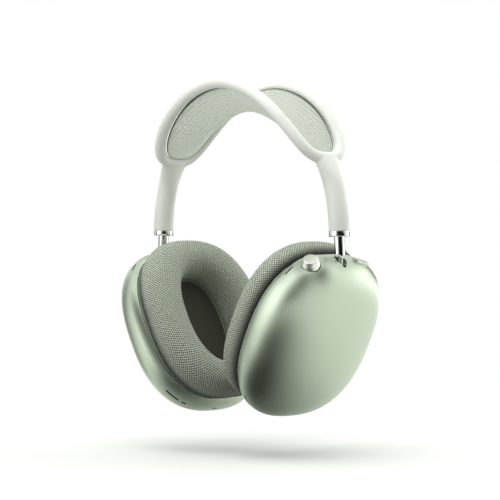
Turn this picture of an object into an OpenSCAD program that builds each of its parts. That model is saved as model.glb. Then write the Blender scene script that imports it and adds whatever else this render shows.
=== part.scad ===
// Over-ear headset: a sprung headband with a knitted canopy, two telescoping
// arms and two tilting, swivelling ear cups with pull-off cushions.
// Millimetres, +Z up, +X towards the wearer's right, +Y towards the front.
// The origin is the underside of the canopy at its middle, where it rests on the head.

/* [Headband] */
// Distance between the two arms, measured at the collars
arm_spacing = 136.4; // [128:0.2:146]
// Height of the rail centres above the collars
band_rise = 82; // [74:0.5:92]
// Roundness of the arch, where 2 is an ellipse
arch_power = 1.91; // [1.85:0.01:2.1]
// Diameter of each rail
rail_d = 6.3; // [5.6:0.1:7.2]
// Distance of each rail's centre from the middle plane at the top
rail_spread = 23.4; // [19:0.2:28]
// Share of each quarter of the arch that the rails take up
rail_share = 0.667; // [0.62:0.005:0.7]
// Diameter of the single stem at each side
stem_d = 11.3; // [10.8:0.1:13]
// Diameter of the steel core inside the rails
core_d = 2.6; // [2:0.1:3]
// Depth of the canopy's underside below the rail centres
canopy_sag = 15.4; // [10:0.2:20]
// Thickness of the canopy's knit
canopy_t = 1.2; // [0.8:0.1:1.8]
// Inward lean of the arms
arm_lean = 3; // [2:0.25:4]

/* [Arms] */
// Diameter of the sliding arm
arm_d = 5.9; // [5:0.1:6]
// Height of the polished collar
collar_h = 3.2; // [2.8:0.1:5]
// How far the arm stands out of the collar at rest
arm_out = 11; // [10:0.1:16]
// How far the arm slides out from rest
arm_extend = 9; // [5:0.5:9]
// How far the arm slides in from rest
arm_retract = 7; // [4:0.5:7]
// Distance from the collar's top down to the tilt pin
pivot_drop = 23.1; // [22.5:0.1:30]
// Diameter of the swivel post
post_d = 2.2; // [1.8:0.1:2.4]
// Diameter of the tilt pin
pin_d = 1.6; // [1.2:0.1:1.8]

/* [Ear cup] */
// Front-to-back width of the cup
cup_w = 83.4; // [78:0.2:90]
// Height of the cup
cup_h = 98.6; // [93:0.2:106]
// Squareness of the cup's outline, where 2 is an ellipse
cup_power = 2.52; // [2.3:0.02:2.8]
// Depth of the domed side, from the widest outline to the crown of the dome
dome_depth = 20; // [18:0.2:24]
// Fullness of the dome
dome_power = 2.47; // [2.2:0.01:2.8]
// Depth of the drawn-in lip behind the widest outline
lip_depth = 7; // [6:0.2:9]
// How much the outline draws in at the lip's edge
lip_draw = 0.06; // [0.04:0.01:0.08]
// Thickness of the aluminium shell
shell_wall = 1.6; // [1.2:0.1:1.8]
// Distance from the tilt pin up to the top of the cup
pivot_depth = 7; // [6.6:0.1:8]
// Distance from the arm's axis in to the widest outline
cup_inset = 6.7; // [6.2:0.1:8]
// Inward tilt of the cups at rest
cup_tilt = 28; // [24:0.5:28]
// Turn of the right cup at rest, towards the front
right_swivel = -4.7; // [-6:0.1:3]
// Turn of the left cup at rest, towards the front
left_swivel = 3.2; // [-3:0.1:6]

/* [Cushion] */
// Width of the cushion at its fullest
cushion_w = 80.7; // [76:0.1:84]
// Height of the cushion at its fullest
cushion_h = 97; // [92:0.2:100]
// Thickness of the cushion
cushion_t = 18.6; // [16:0.2:19]
// Width of the ear cavity
cavity_w = 36; // [32:0.5:40]
// Height of the ear cavity
cavity_h = 56; // [50:0.5:60]
// How far the cushion lifts off its magnets
cushion_lift = 2; // [1:0.25:2.5]

/* [Loudspeaker] */
// Diameter of the loudspeaker basket
driver_d = 40; // [36:1:44]
// Depth of the loudspeaker basket
driver_h = 6.5; // [5:0.5:7]
// Diameter of the loudspeaker magnet
magnet_d = 22; // [18:1:26]
// Thickness of the loudspeaker magnet
magnet_h = 4.5; // [3:0.5:5]
// Thickness of the moulded baffle
baffle_t = 2; // [1.6:0.1:2.4]

/* [Controls] */
// Diameter of the turning crown
crown_d = 10; // [8:0.1:11]
// How far the crown stands proud of the cup
crown_h = 4.1; // [3:0.1:5]
// Distance of the crown behind the arm
crown_back = 20.4; // [19:0.1:23]
// Press travel of the crown
crown_press = 0.35; // [0.2:0.05:0.35]
// Length of the oblong button
button_l = 11.5; // [9:0.5:12.5]
// Width of the oblong button
button_w = 3.8; // [3:0.1:4.4]
// How far the button stands proud of the cup
button_h = 0.8; // [0.5:0.1:1.5]
// Distance of the button in front of the arm
button_front = 15.5; // [15:0.1:18]
// Press travel of the button
button_press = 0.35; // [0.2:0.05:0.35]
// Width of the charging socket
socket_w = 8.9; // [8.2:0.1:9.4]
// Height of the charging socket
socket_h = 3.2; // [2.8:0.1:3.6]

/* [Hidden] */

// Fits and gaps
run_gap = 0.05;     // radial clearance of a shaft that turns or slides
seat_gap = 0.03;    // radial clearance of a part pressed into its seat
soft_gap = 0.3;     // between a moulded or soft part and its neighbour
core_gap = 0.15;    // around the steel core inside the sleeve
tiny = 0.01;

// Numbers of facets
round_fn = 48;
outline_steps = 40;
slot_fn = 12;
rail_rings = 60;
rail_sides = 10;
core_sides = 6;

shell_color = [0.66, 0.74, 0.63];
sleeve_color = [0.92, 0.94, 0.90];
knit_color = [0.58, 0.63, 0.55];
chrome_color = [0.80, 0.80, 0.80];
steel_color = [0.62, 0.63, 0.65];
moulded_color = [0.16, 0.17, 0.17];
cloth_color = [0.20, 0.21, 0.16];
magnet_color = [0.45, 0.46, 0.48];
board_color = [0.12, 0.35, 0.22];
cell_color = [0.35, 0.38, 0.42];

// ---------------------------------------------------------------- helpers

// Power of a signed number that keeps its sign
function spow(v, e) = sign(v) * pow(abs(v), e);
function unit(v) = v / norm(v);

// One point of a rounded outline with half sizes a and b, seen from its middle at angle t
function outline_point(t, a, b, power) =
    let (r = pow(pow(abs(cos(t)) / a, power) + pow(abs(sin(t)) / b, power), -1 / power))
    [r * cos(t), r * sin(t)];
function outline(a, b, power, steps = outline_steps) =
    [for (i = [0:steps - 1]) outline_point(360 * i / steps, a, b, power)];

// Solid skinned over rings of equal length that run anticlockwise about the way they are stacked.
// A closed skin joins its last ring to its first; the others end in strips across the ring.
module skin(rings, closed = false) {
    n = len(rings[0]);
    m = len(rings);
    side = [for (j = [0:(closed ? m - 1 : m - 2)], i = [0:n - 1])
        let (a = j * n + i, b = j * n + (i + 1) % n,
             c = ((j + 1) % m) * n + (i + 1) % n, d = ((j + 1) % m) * n + i)
        each [[a, c, b], [a, d, c]]];
    strip = [for (i = [0:n / 2 - 2]) each [[i, i + 1, n - 2 - i], [i, n - 2 - i, n - 1 - i]]];
    last = [for (f = strip) [for (k = [2:-1:0]) f[k] + (m - 1) * n]];
    polyhedron(points = [for (r = rings) each r], faces = closed ? side : concat(side, strip, last));
}

// Round bar along an axis with a hole through it
module ring(r_out, r_in, z0, z1) {
    difference() {
        translate([0, 0, z0]) cylinder(r = r_out, h = z1 - z0, $fn = round_fn);
        translate([0, 0, z0 - 1]) cylinder(r = r_in, h = z1 - z0 + 2, $fn = round_fn);
    }
}
module bar(r, z0, z1) {
    translate([0, 0, z0]) cylinder(r = r, h = z1 - z0, $fn = round_fn);
}

// Oblong bar whose length lies along Y
module oblong(length, width, z0, z1, fn = round_fn) {
    translate([0, 0, z0]) linear_extrude(z1 - z0) union() {
        square([width, length - width], center = true);
        for (s = [-1, 1]) translate([0, s * (length - width) / 2]) circle(d = width, $fn = fn);
    }
}

// ---------------------------------------------------------------- headband frame

half_spacing = arm_spacing / 2;
collar_z = -(band_rise - canopy_sag);      // height of the collars' tops
rail_r = rail_d / 2;
stem_r = stem_d / 2;
arm_r = arm_d / 2;
junction_power = 2.95;                     // fullness of the rails' loop along the arch
spread_power = 3.6;                        // fullness of the rails' loop across the arch
junction_angle = 90 * (1 - rail_share);    // arch angle where the two rails meet

// Arch of the headband in the XZ plane; angle 0 is the right collar, 90 the top
function arch(t) = [half_spacing * spow(cos(t), 2 / arch_power), 0,
                    band_rise * spow(sin(t), 2 / arch_power)];
function arch_dir(t) = unit(arch(t + 0.5) - arch(t - 0.5));
// Direction out of the arch, away from the head
function arch_out(t) = let (d = arch_dir(t)) [d[2], 0, -d[0]];

// Centre line of the rails: one closed loop that lies on the arch
function rail_angle(p) = 90 * (1 - rail_share * cos(p));
function rail_half(f) = rail_spread * pow(max(0, 1 - pow(abs(f), junction_power)), 1 / spread_power);
function rail_centre(p) = arch(rail_angle(p)) + [0, sign(sin(p)) * rail_half(cos(p)), 0];

function rail_ring(p, r, sides) =
    let (c = rail_centre(p), d = unit(rail_centre(p + 0.6) - rail_centre(p - 0.6)),
         o = arch_out(rail_angle(p)), s = unit(cross(d, o)))
    [for (i = [0:sides - 1]) let (a = 360 * i / sides) c + r * cos(a) * s + r * sin(a) * unit(cross(d, s))];

module rail_loop(r, sides) {
    skin([for (k = [0:rail_rings - 1]) rail_ring(360 * (k + 0.5) / rail_rings, r, sides)], closed = true);
}

// Stem from arch angle t0 up to t1, where it widens across and thins out of the arch
function stem_ring(t, r, across, out, sides) =
    let (c = arch(t), o = arch_out(t))
    [for (i = [0:sides - 1]) let (a = -360 * (i + 0.5) / sides)
        c + [0, (r + across) * cos(a), 0] + (r + out) * sin(a) * o];

stem_steps = 10;
stem_start = -4;                            // arch angle below the collar, cut off there
stem_reach = 0.5;                           // how far the stem runs into the rails' meeting point
flare_start = 0.62;
flare_across = 3.2;
flare_out = -2.0;
module stem_sweep(r, t0, t1, across = 0, out = 0, sides = 12) {
    skin([for (k = [0:stem_steps])
        let (f = k / stem_steps, g = max(0, (f - flare_start) / (1 - flare_start)), w = g * g * (3 - 2 * g))
        stem_ring(t0 + (t1 - t0) * f, r, across * w, out * w, sides)]);
}

// Places a part in the frame of the right arm: its origin is the collar's top, +Z runs up the arm
module arm_frame() {
    translate([half_spacing, 0, 0]) rotate([0, -arm_lean, 0]) children();
}
// Both headband ends at once, in the headband's own frame
module both_ends() {
    for (s = [0, 1]) mirror([s, 0, 0]) children();
}
// From the headband's own frame, with the collars at Z 0, to the part's frame
module band_place() {
    translate([0, 0, collar_z]) children();
}

// ---------------------------------------------------------------- telescoping arm

bush_bore_r = arm_r + run_gap;
stop_r = arm_r + 0.3;                       // stop ring, which slides inside the stem tube
tube_bore_r = stop_r + run_gap;
tube_r = tube_bore_r + 0.35;
arm_top = arm_out + 0.3;                    // the arm's upper end at rest
stop_h = 1.2;
spigot_r = arm_r - 0.65;
tube_top = arm_top + arm_retract + 0.4;
cap_t = 0.8;
bush_top = arm_top - stop_h - arm_extend - 0.2;
collar_lip = 0.6;
arm_tip = -collar_h - arm_out;              // the arm's lower end, above the cup
tip_h = 2.8;                                // height of the rounded tip
tip_r = 1.5;
post_r = post_d / 2;
hollow_r = post_r + 0.65;
post_bore_h = 6.5;                          // length of the swivel bore in the arm's end
clip_t = 0.6;
pin_r = pin_d / 2;
neck_r = 1.5;
eye_r = 2.2;
eye_w = 4;

module stem_tube() {
    color(steel_color) difference() {
        bar(tube_r, -collar_h + collar_lip + 0.05, tube_top + cap_t);
        bar(tube_bore_r, -collar_h, tube_top);
    }
}
module collar() {
    edge = 0.35;
    lip_r = arm_r + 0.2;
    seat_r = tube_r + seat_gap;
    color(chrome_color) rotate_extrude($fn = round_fn) polygon([
        [lip_r, -collar_h], [stem_r - edge, -collar_h], [stem_r, -collar_h + edge],
        [stem_r, -edge], [stem_r - edge, -tiny], [seat_r, -tiny],
        [seat_r, -collar_h + collar_lip], [lip_r, -collar_h + collar_lip]]);
}
module slide_bush() {
    color(moulded_color) ring(tube_bore_r - seat_gap, bush_bore_r, -collar_h + collar_lip + 0.05, bush_top);
}
module arm() {
    steps = 6;
    tip = [for (i = [0:steps]) let (a = 90 * i / steps)
        [tip_r + (arm_r - tip_r) * sin(a), arm_tip + tip_h * (1 - cos(a))]];
    color(chrome_color) difference() {
        rotate_extrude($fn = round_fn) polygon(concat([[0, arm_tip]], tip, [
            [arm_r, arm_top - stop_h], [spigot_r, arm_top - stop_h],
            [spigot_r, arm_top], [0, arm_top]]));
        bar(post_r + run_gap, arm_tip - 1, arm_tip + post_bore_h + tiny);
        bar(hollow_r, arm_tip + post_bore_h, arm_top + 1);
    }
}
module arm_stop() {
    color(moulded_color) ring(stop_r, spigot_r + seat_gap, arm_top - stop_h + tiny, arm_top);
}
module knuckle() {
    shoulder = arm_tip - 0.1;
    color(steel_color) difference() {
        union() {
            bar(post_r, shoulder - 0.5, arm_tip + post_bore_h + 0.1 + clip_t + 0.2);
            bar(neck_r, -pivot_drop, shoulder);
            translate([0, 0, -pivot_drop]) rotate([90, 0, 0]) bar(eye_r, -eye_w / 2, eye_w / 2);
        }
        translate([0, 0, -pivot_drop]) rotate([90, 0, 0]) bar(pin_r + run_gap, -eye_w, eye_w);
    }
}
module swivel_clip() {
    color(steel_color) ring(hollow_r - 0.1, post_r + seat_gap,
                            arm_tip + post_bore_h + 0.1, arm_tip + post_bore_h + 0.1 + clip_t);
}

// ---------------------------------------------------------------- ear cup

cup_a = cup_w / 2;
cup_b = cup_h / 2;
cup_centre_z = pivot_depth - cup_b;
lip_x = -cup_inset - lip_depth;             // edge of the lip, facing the head
lip_scale = 1 - lip_draw;
dome_rings = 8;
lip_rings = 2;

// Frames of a right cup: origin at the tilt pin, +X away from the head.
// The knuckle frame turns with the swivel, the cup frame also with the tilt.
module knuckle_frame(swivel) {
    arm_frame() rotate([0, 0, swivel]) children();
}
module cup_frame(swivel) {
    arm_frame() translate([0, 0, -pivot_drop]) rotate([0, 0, swivel])
        rotate([0, cup_tilt + arm_lean, 0]) children();
}
// A right or a left part in the part's frame
module at_arm(side) {
    band_place() mirror([side == "left" ? 1 : 0, 0, 0]) arm_frame() children();
}
module at_knuckle(side) {
    band_place() mirror([side == "left" ? 1 : 0, 0, 0])
        knuckle_frame(side == "left" ? left_swivel : right_swivel) children();
}
module at_cup(side) {
    band_place() mirror([side == "left" ? 1 : 0, 0, 0])
        cup_frame(side == "left" ? left_swivel : right_swivel) children();
}

// Height of the cup's outline above its centre, at distance y from the middle
function cup_edge_z(y) = cup_b * pow(1 - pow(abs(y) / cup_a, cup_power), 1 / cup_power);
// Angle by which the outline's outward direction leans from vertical there
function cup_edge_lean(y) =
    atan2(spow(y / cup_a, cup_power - 1) / cup_a, pow(cup_edge_z(y) / cup_b, cup_power - 1) / cup_b);

// Frame on the cup's edge at (x, y): origin on the widest outline, +Z out of the cup.
// bottom puts it on the lower half.
module edge_frame(x, y, bottom = false) {
    translate([x, 0, cup_centre_z]) mirror([0, 0, bottom ? 1 : 0])
        translate([0, y, cup_edge_z(y)]) rotate([-cup_edge_lean(y), 0, 0]) children();
}

// One ring of the cup at depth x with its outline scaled by k
function cup_ring(x, k, inset) =
    [for (p = outline((cup_a - inset) * k, (cup_b - inset) * k, cup_power)) [x, p[0], p[1] + cup_centre_z]];

// Closed form of the cup, drawn in by inset from its outer face
module cup_form(inset, extra = 0) {
    lip = [for (i = [0:lip_rings - 1]) let (s = 1 - i / lip_rings)
        cup_ring(-cup_inset - lip_depth * s, 1 - lip_draw * s * s, inset)];
    dome = [for (i = [0:dome_rings - 1]) let (a = 89 * i / (dome_rings - 1))
        cup_ring(-cup_inset + (dome_depth - inset) * pow(sin(a), 2 / dome_power),
                 pow(cos(a), 2 / dome_power), inset)];
    tail = extra > 0 ? [cup_ring(lip_x - extra, lip_scale, inset)] : [];
    skin(concat(tail, lip, dome));
}

neck_slot_w = 2 * neck_r + 0.7;
dimple_r = 4.6;
crown_hole_r = crown_d / 2 + 0.35;
crown_x = -cup_inset + 3;
button_x = -cup_inset + 3.7;
button_slot = 0.45;
slot_w = 1.2;
cup_tilt_out = 2;                           // how far the cup tilts past vertical
mic_back = 29.5;                            // place of the microphone slots behind the arm
vent_back = 29.8;
vent_l = 9.5;
small_vent_back = 23.2;
small_vent_l = 3.4;
vent_x = -cup_inset + 1.1;
mic_x = -cup_inset - 2.2;
socket_x = -cup_inset + 0.5;
small_slot_back = 2.4;

// Slot that the neck sweeps as the cup tilts, with a round recess around it
slot_in = (pivot_depth + 0.3) * tan(cup_tilt + arm_lean) + neck_r / cos(cup_tilt + arm_lean) + 0.5;
slot_out = (pivot_depth + 0.3) * tan(cup_tilt_out) + neck_r + 0.5;
module top_opening() {
    translate([-3.2, 0, pivot_depth + 1.3]) scale([1, 0.8, 1]) rotate([0, 0, 5]) sphere(r = dimple_r, $fn = 20);
    translate([(slot_out - slot_in) / 2, 0, 0]) rotate([0, 0, 90])
        oblong(slot_out + slot_in, neck_slot_w, 1, 12, slot_fn);
}
module slot_cut(length, width) {
    oblong(length, width, -4, 4, slot_fn);
}
module shell(side) {
    color(shell_color) resize([0, 0, 0]) difference() {
        cup_form(0);
        cup_form(shell_wall, extra = 2);
        top_opening();
        edge_frame(mic_x, -mic_back) slot_cut(6, slot_w);
        edge_frame(mic_x, mic_back) slot_cut(6, slot_w);
        edge_frame(vent_x, -vent_back, bottom = true) slot_cut(vent_l, slot_w);
        edge_frame(vent_x, -small_vent_back, bottom = true) slot_cut(small_vent_l, slot_w);
        if (side == "right") {
            edge_frame(crown_x, -crown_back) cylinder(r = crown_hole_r, h = 12, center = true, $fn = 24);
            edge_frame(button_x, button_front) slot_cut(button_l + 2 * button_slot, button_w + 2 * button_slot);
            edge_frame(socket_x, 0, bottom = true) oblong(socket_w + 0.6, socket_h + 0.6, -5, 4, slot_fn);
        } else {
            edge_frame(socket_x, -small_slot_back, bottom = true) slot_cut(small_vent_l, slot_w);
        }
    }
}
module mesh_strip(length) {
    oblong(length - 0.3, slot_w - 0.3, -1.3, -0.7, slot_fn);
}
module mic_meshes(side) {
    color(moulded_color) {
        edge_frame(mic_x, -mic_back) mesh_strip(6);
        edge_frame(mic_x, mic_back) mesh_strip(6);
        edge_frame(vent_x, -vent_back, bottom = true) mesh_strip(vent_l);
        edge_frame(vent_x, -small_vent_back, bottom = true) mesh_strip(small_vent_l);
        if (side == "left") edge_frame(socket_x, -small_slot_back, bottom = true) mesh_strip(small_vent_l);
    }
}

// ---------------------------------------------------------------- inside the cup

baffle_x = lip_x + 0.7;                     // face of the baffle that carries the cushion
baffle_back = baffle_x + baffle_t;
baffle_a = (cup_a - shell_wall) * lip_scale - soft_gap;
baffle_b = (cup_b - shell_wall) * lip_scale - soft_gap;
ear_z = cup_centre_z;                       // centre of the ear cavity and of the loudspeaker
post_y = 24;
post_z = 20;
tray_x = baffle_back + driver_h + magnet_h + 0.6;
tray_t = 1.2;
screw_r = 0.9;
magnet_disc_r = 2.5;
magnet_disc_t = 1.6;
magnet_y = 26;
magnet_z = 29;

// Flat plate across the cup, from x0 to x1
module cup_plate(a, b, power, x0, x1) {
    translate([x0, 0, ear_z]) rotate([90, 0, 90]) linear_extrude(x1 - x0) polygon(outline(a, b, power));
}
// Round hole or bar through the cup's plates, along X
module cross_bar(y, z, r, x0, x1) {
    translate([x0, y, z]) rotate([0, 90, 0]) cylinder(r = r, h = x1 - x0, $fn = 32);
}
module at_posts() {
    for (y = [-post_y, post_y], z = [-post_z, post_z]) translate([0, y, ear_z + z]) children();
}
module at_magnets() {
    for (y = [-magnet_y, magnet_y], z = [-magnet_z, magnet_z]) translate([0, y, ear_z + z]) children();
}

foot_z0 = -16;
foot_z1 = -5;
foot_t = 1.8;
foot_screw_z = -13;
foot_screw_y = 5.5;
module baffle() {
    color(moulded_color) difference() {
        union() {
            cup_plate(baffle_a, baffle_b, cup_power, baffle_x, baffle_back);
            at_posts() cross_bar(0, 0, 2.4, baffle_back - tiny, tray_x);
        }
        cross_bar(0, ear_z, driver_d / 2 - 3, baffle_x - 1, baffle_back + 1);
        at_posts() cross_bar(0, 0, screw_r + seat_gap, tray_x - 5, tray_x + 1);
        at_magnets() cross_bar(0, 0, magnet_disc_r + seat_gap, baffle_x - 1, baffle_x + magnet_disc_t);
        for (y = [-foot_screw_y, foot_screw_y])
            cross_bar(y, foot_screw_z, screw_r + seat_gap, baffle_x + 0.4, baffle_back + 1);
    }
}
module baffle_magnets() {
    color(magnet_color) at_magnets()
        cross_bar(0, 0, magnet_disc_r, baffle_x + 0.05, baffle_x + magnet_disc_t - 0.02);
}
cheek_gap = eye_w / 2 + 0.2;
cheek_y = 5;
cheek_r = 2.35;
pin_half = cheek_y + 0.3;
module pivot_block() {
    color(steel_color) difference() {
        union() {
            for (s = [-1, 1]) translate([0, s * (cheek_gap + cheek_y) / 2, 0]) {
                rotate([90, 0, 0]) cylinder(r = cheek_r, h = cheek_y - cheek_gap, center = true, $fn = round_fn);
                translate([-cheek_r, -(cheek_y - cheek_gap) / 2, -6])
                    cube([2 * cheek_r, cheek_y - cheek_gap, 6]);
            }
            translate([baffle_back + tiny, -cheek_y, -7]) cube([cheek_r - baffle_back - tiny, 2 * cheek_y, 2]);
            translate([baffle_back + tiny, -8, foot_z0]) cube([foot_t, 16, foot_z1 - foot_z0]);
        }
        rotate([90, 0, 0]) bar(pin_r + seat_gap, -10, 10);
        for (y = [-foot_screw_y, foot_screw_y])
            cross_bar(y, foot_screw_z, screw_r + seat_gap, baffle_back - 1, baffle_back + foot_t + 1);
    }
}
module tilt_pin() {
    color(chrome_color) rotate([90, 0, 0]) bar(pin_r, -pin_half, pin_half);
}
module driver_basket() {
    r = driver_d / 2;
    color(moulded_color) translate([baffle_back + tiny, 0, ear_z]) rotate([0, 90, 0]) rotate_extrude($fn = round_fn)
        polygon([[r - 3, 0], [r, 0], [r, 1.5], [r - 1.5, 1.5], [magnet_d / 2 + 1, driver_h],
                 [magnet_d / 2 - 4, driver_h], [magnet_d / 2 - 4, driver_h - 1.2],
                 [magnet_d / 2, driver_h - 1.2], [r - 3, 1.2]]);
}
module driver_cone() {
    r = driver_d / 2 - 3;
    color([0.30, 0.31, 0.33]) translate([baffle_back + tiny, 0, ear_z]) rotate([0, 90, 0])
        rotate_extrude($fn = round_fn) polygon([
            [0, -1.2], [4, -0.9], [8, 0.3], [r - 4, -0.6], [r - 0.03, 0], [r - 0.03, 0.5],
            [r - 4, -0.1], [8, 0.8], [4, -0.4], [0, -0.7]]);
}
module driver_magnet() {
    color(magnet_color) translate([baffle_back + 2 * tiny + driver_h, 0, ear_z]) rotate([0, 90, 0])
        bar(magnet_d / 2, 0, magnet_h);
}
tray_w = 2 * post_y + 8;
tray_l = 2 * post_z + 8;
module tray_plate(t) {
    difference() {
        translate([tray_x + tiny, -tray_w / 2, ear_z - tray_l / 2]) cube([t, tray_w, tray_l]);
        at_posts() cross_bar(0, 0, screw_r + seat_gap, tray_x - 1, tray_x + t + 1);
    }
}
module battery_tray() {
    color(moulded_color) tray_plate(tray_t);
}
cell_t = 4.2;
module battery_cells() {
    color(cell_color) for (s = [-1, 1])
        translate([tray_x + 2 * tiny + tray_t, s * 10 - 9.5, ear_z - 17]) cube([cell_t, 19, 34]);
}
module logic_board() {
    chips = [[-12, 8, 9, 9, 1.2], [10, -6, 7, 7, 1], [8, 10, 5, 8, 0.9], [-8, -12, 12, 4, 1.4], [0, -2, 4, 4, 0.8]];
    color(board_color) union() {
        tray_plate(tray_t);
        for (c = chips) translate([tray_x + tray_t, c[0] - c[2] / 2, ear_z + c[1] - c[3] / 2])
            cube([c[4], c[2], c[3]]);
    }
}
module pan_screw(length) {
    // head towards +X, shank towards -X from the seat at X 0
    rotate([0, 90, 0]) {
        bar(screw_r, -length, 0.2);
        difference() {
            bar(1.8, tiny, 1);
            bar(0.6, 0.5, 1.5);
        }
    }
}
module screws(side) {
    color(steel_color) {
        at_posts() translate([tray_x + tray_t + tiny, 0, 0]) pan_screw(5);
        for (y = [-foot_screw_y, foot_screw_y])
            translate([baffle_back + foot_t + tiny, y, foot_screw_z]) pan_screw(foot_t + baffle_t - 0.7);
    }
}

// ---------------------------------------------------------------- cushion

plate_t = 1.4;
plate_x = baffle_x - 0.05;                  // back of the cushion's plate, against the baffle
cushion_x = plate_x - plate_t - tiny;       // back of the soft cushion
cushion_a = cushion_w / 2;
cushion_b = cushion_h / 2;
cavity_a = cavity_w / 2;
cavity_b = cavity_h / 2;
cavity_power = 2.3;

// Section of the cushion from its outer foot over the crown to the bottom of the cavity:
// share of the way from the cavity's wall to the fullest outline, and share of the thickness
section = [[0.84, 0], [0.94, 0.13], [0.99, 0.28], [1, 0.42], [0.975, 0.59], [0.91, 0.75],
           [0.80, 0.89], [0.65, 0.97], [0.49, 1], [0.33, 0.97], [0.18, 0.87],
           [0.07, 0.68], [0.01, 0.42], [0, 0.20], [0.02, 0]];
function cushion_ring(f, d) =
    [for (i = [0:outline_steps - 1]) let (t = 360 * i / outline_steps,
        o = outline_point(t, cushion_a, cushion_b, cup_power),
        c = outline_point(t, cavity_a, cavity_b, cavity_power), p = c + f * (o - c))
        [cushion_x - d * cushion_t, p[0], p[1] + ear_z]];
module cushion() {
    color(knit_color) skin([for (i = [len(section) - 1:-1:0]) cushion_ring(section[i][0], section[i][1])],
                           closed = true);
}
rim_a = cup_a * lip_scale - 0.2;            // flange that covers the edge of the shell's lip
rim_b = cup_b * lip_scale - 0.2;
module cushion_plate() {
    color(moulded_color) difference() {
        union() {
            cup_plate(baffle_a - 0.6, baffle_b - 0.6, cup_power, plate_x - plate_t, plate_x);
            cup_plate(rim_a, rim_b, cup_power, plate_x - plate_t, lip_x - 0.06);
        }
        cup_plate(cavity_a - 3, cavity_b - 3, cavity_power, plate_x - plate_t - 1, plate_x + 1);
        at_magnets() cross_bar(0, 0, magnet_disc_r + seat_gap, plate_x - plate_t + 0.4, plate_x + 1);
    }
}
module cushion_magnets() {
    color(magnet_color) at_magnets()
        cross_bar(0, 0, magnet_disc_r, plate_x - plate_t + 0.42, plate_x - 0.02);
}
module ear_cloth() {
    color(cloth_color) cup_plate(cavity_a - 1, cavity_b - 1, cavity_power,
                                 cushion_x - 0.5, cushion_x);
}

// ---------------------------------------------------------------- crown and button

housing_top = -4.2;
stem_shaft_r = 1.5;
crown_foot = -1.0;
crown_bore_r = 1.0;
module at_crown() {
    edge_frame(crown_x, -crown_back) children();
}
module crown() {
    r = crown_d / 2;
    steps = 5;
    round_edge = 0.9;
    rim = [for (i = [0:steps]) let (a = 90 * i / steps)
        [r - round_edge * (1 - cos(a)), crown_h - round_edge * (1 - sin(a))]];
    color([0.85, 0.87, 0.84]) at_crown() difference() {
        rotate_extrude($fn = round_fn) polygon(concat([[0, crown_foot], [r - 0.4, crown_foot], [r, crown_foot + 0.4]],
                                                      rim, [[0, crown_h]]));
        bar(crown_bore_r + run_gap, crown_foot - 1, crown_h - 1.4);
    }
}
stem_foot = -7;
flange_top = -4.8;
module crown_stem() {
    color(steel_color) at_crown() union() {
        bar(crown_bore_r, -1.5, crown_h - 1.6);
        bar(stem_shaft_r, stem_foot, crown_foot - 0.1);
        bar(2.6, flange_top - 0.8, flange_top);
    }
}
housing_floor = -9;
housing_neck_top = crown_foot - crown_press - 0.25;
module crown_housing() {
    foot_x = baffle_back - crown_x + tiny;
    color(moulded_color) at_crown() difference() {
        union() {
            bar(4.2, housing_floor - 1, housing_top);
            bar(3, housing_top - tiny, housing_neck_top);
            translate([foot_x, -3, housing_floor - 1]) cube([-foot_x - 2, 6, 5]);
        }
        bar(stem_shaft_r + run_gap, flange_top, 0);
        bar(3.2, housing_floor, flange_top + 0.2);
    }
}
module crown_switch() {
    color([0.75, 0.75, 0.72]) at_crown() union() {
        bar(2.9, housing_floor + tiny, stem_foot - 0.9);
        bar(1.2, stem_foot - 1, stem_foot - crown_press - 0.1);
    }
}

button_flange_top = -2.6;
button_foot = -4.6;
module at_button() {
    edge_frame(button_x, button_front) children();
}
module mode_button() {
    color(shell_color) at_button() union() {
        oblong(button_l, button_w, button_flange_top - 0.1, button_h);
        oblong(button_l + 0.6, button_w + 0.6, button_flange_top - 0.8, button_flange_top);
        bar(1, button_foot, button_flange_top - 0.7);
    }
}
button_tray_w = button_w + 1.4;
button_tray_l = button_l + 1.4;
module button_housing() {
    foot_x = baffle_back - button_x + tiny;
    color(moulded_color) at_button() difference() {
        union() {
            oblong(button_tray_l + 1.2, button_tray_w + 1.2, -7.4, -4.4);
            translate([foot_x, -3, -7.4]) cube([-foot_x - 3, 6, 3]);
        }
        oblong(button_tray_l, button_tray_w, -6.6, 0);
    }
}
module button_switch() {
    color([0.75, 0.75, 0.72]) at_button() union() {
        translate([-2, -3, -6.6 + tiny]) cube([4, 6, 1.4]);
        bar(0.9, -5.3, button_foot - button_press - 0.1);
    }
}

socket_depth = 6.5;
module charge_socket() {
    color(steel_color) edge_frame(socket_x, 0, bottom = true) union() {
        difference() {
            oblong(socket_w, socket_h, -socket_depth, -0.3);
            oblong(socket_w - 0.7, socket_h - 0.7, -socket_depth + 1, 1);
        }
        translate([-0.35, -(socket_w - 3) / 2, -socket_depth + 0.5]) cube([0.7, socket_w - 3, socket_depth - 1.6]);
        translate([baffle_back - socket_x + tiny, -3, -socket_depth]) cube([-baffle_back + socket_x - 1, 6, 0.9]);
    }
}

// ---------------------------------------------------------------- headband parts

module band_sleeve() {
    color(sleeve_color) band_place() resize([0, 0, 0]) difference() {
        union() {
            rail_loop(rail_r, rail_sides);
            both_ends() stem_sweep(stem_r, stem_start, junction_angle + stem_reach, flare_across, flare_out);
        }
        rail_loop(core_d / 2 + core_gap, core_sides);
        both_ends() {
            stem_sweep(core_d / 2 + core_gap, core_start - 1.2, junction_angle + 0.7, sides = core_sides);
            arm_frame() translate([0, 0, -20 - tiny]) cube([40, 40, 40], center = true);
            arm_frame() bar(tube_r + core_gap, -1, tube_top + cap_t + core_gap);
        }
    }
}
// arch angle just above the end of the stem tube
core_start = 0.5 + asin(pow((tube_top + cap_t) / band_rise, arch_power / 2));
module band_core() {
    color(steel_color) band_place() resize([0, 0, 0]) union() {
        rail_loop(core_d / 2, core_sides);
        both_ends() stem_sweep(core_d / 2, core_start, junction_angle + 0.6, sides = core_sides);
    }
}

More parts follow.
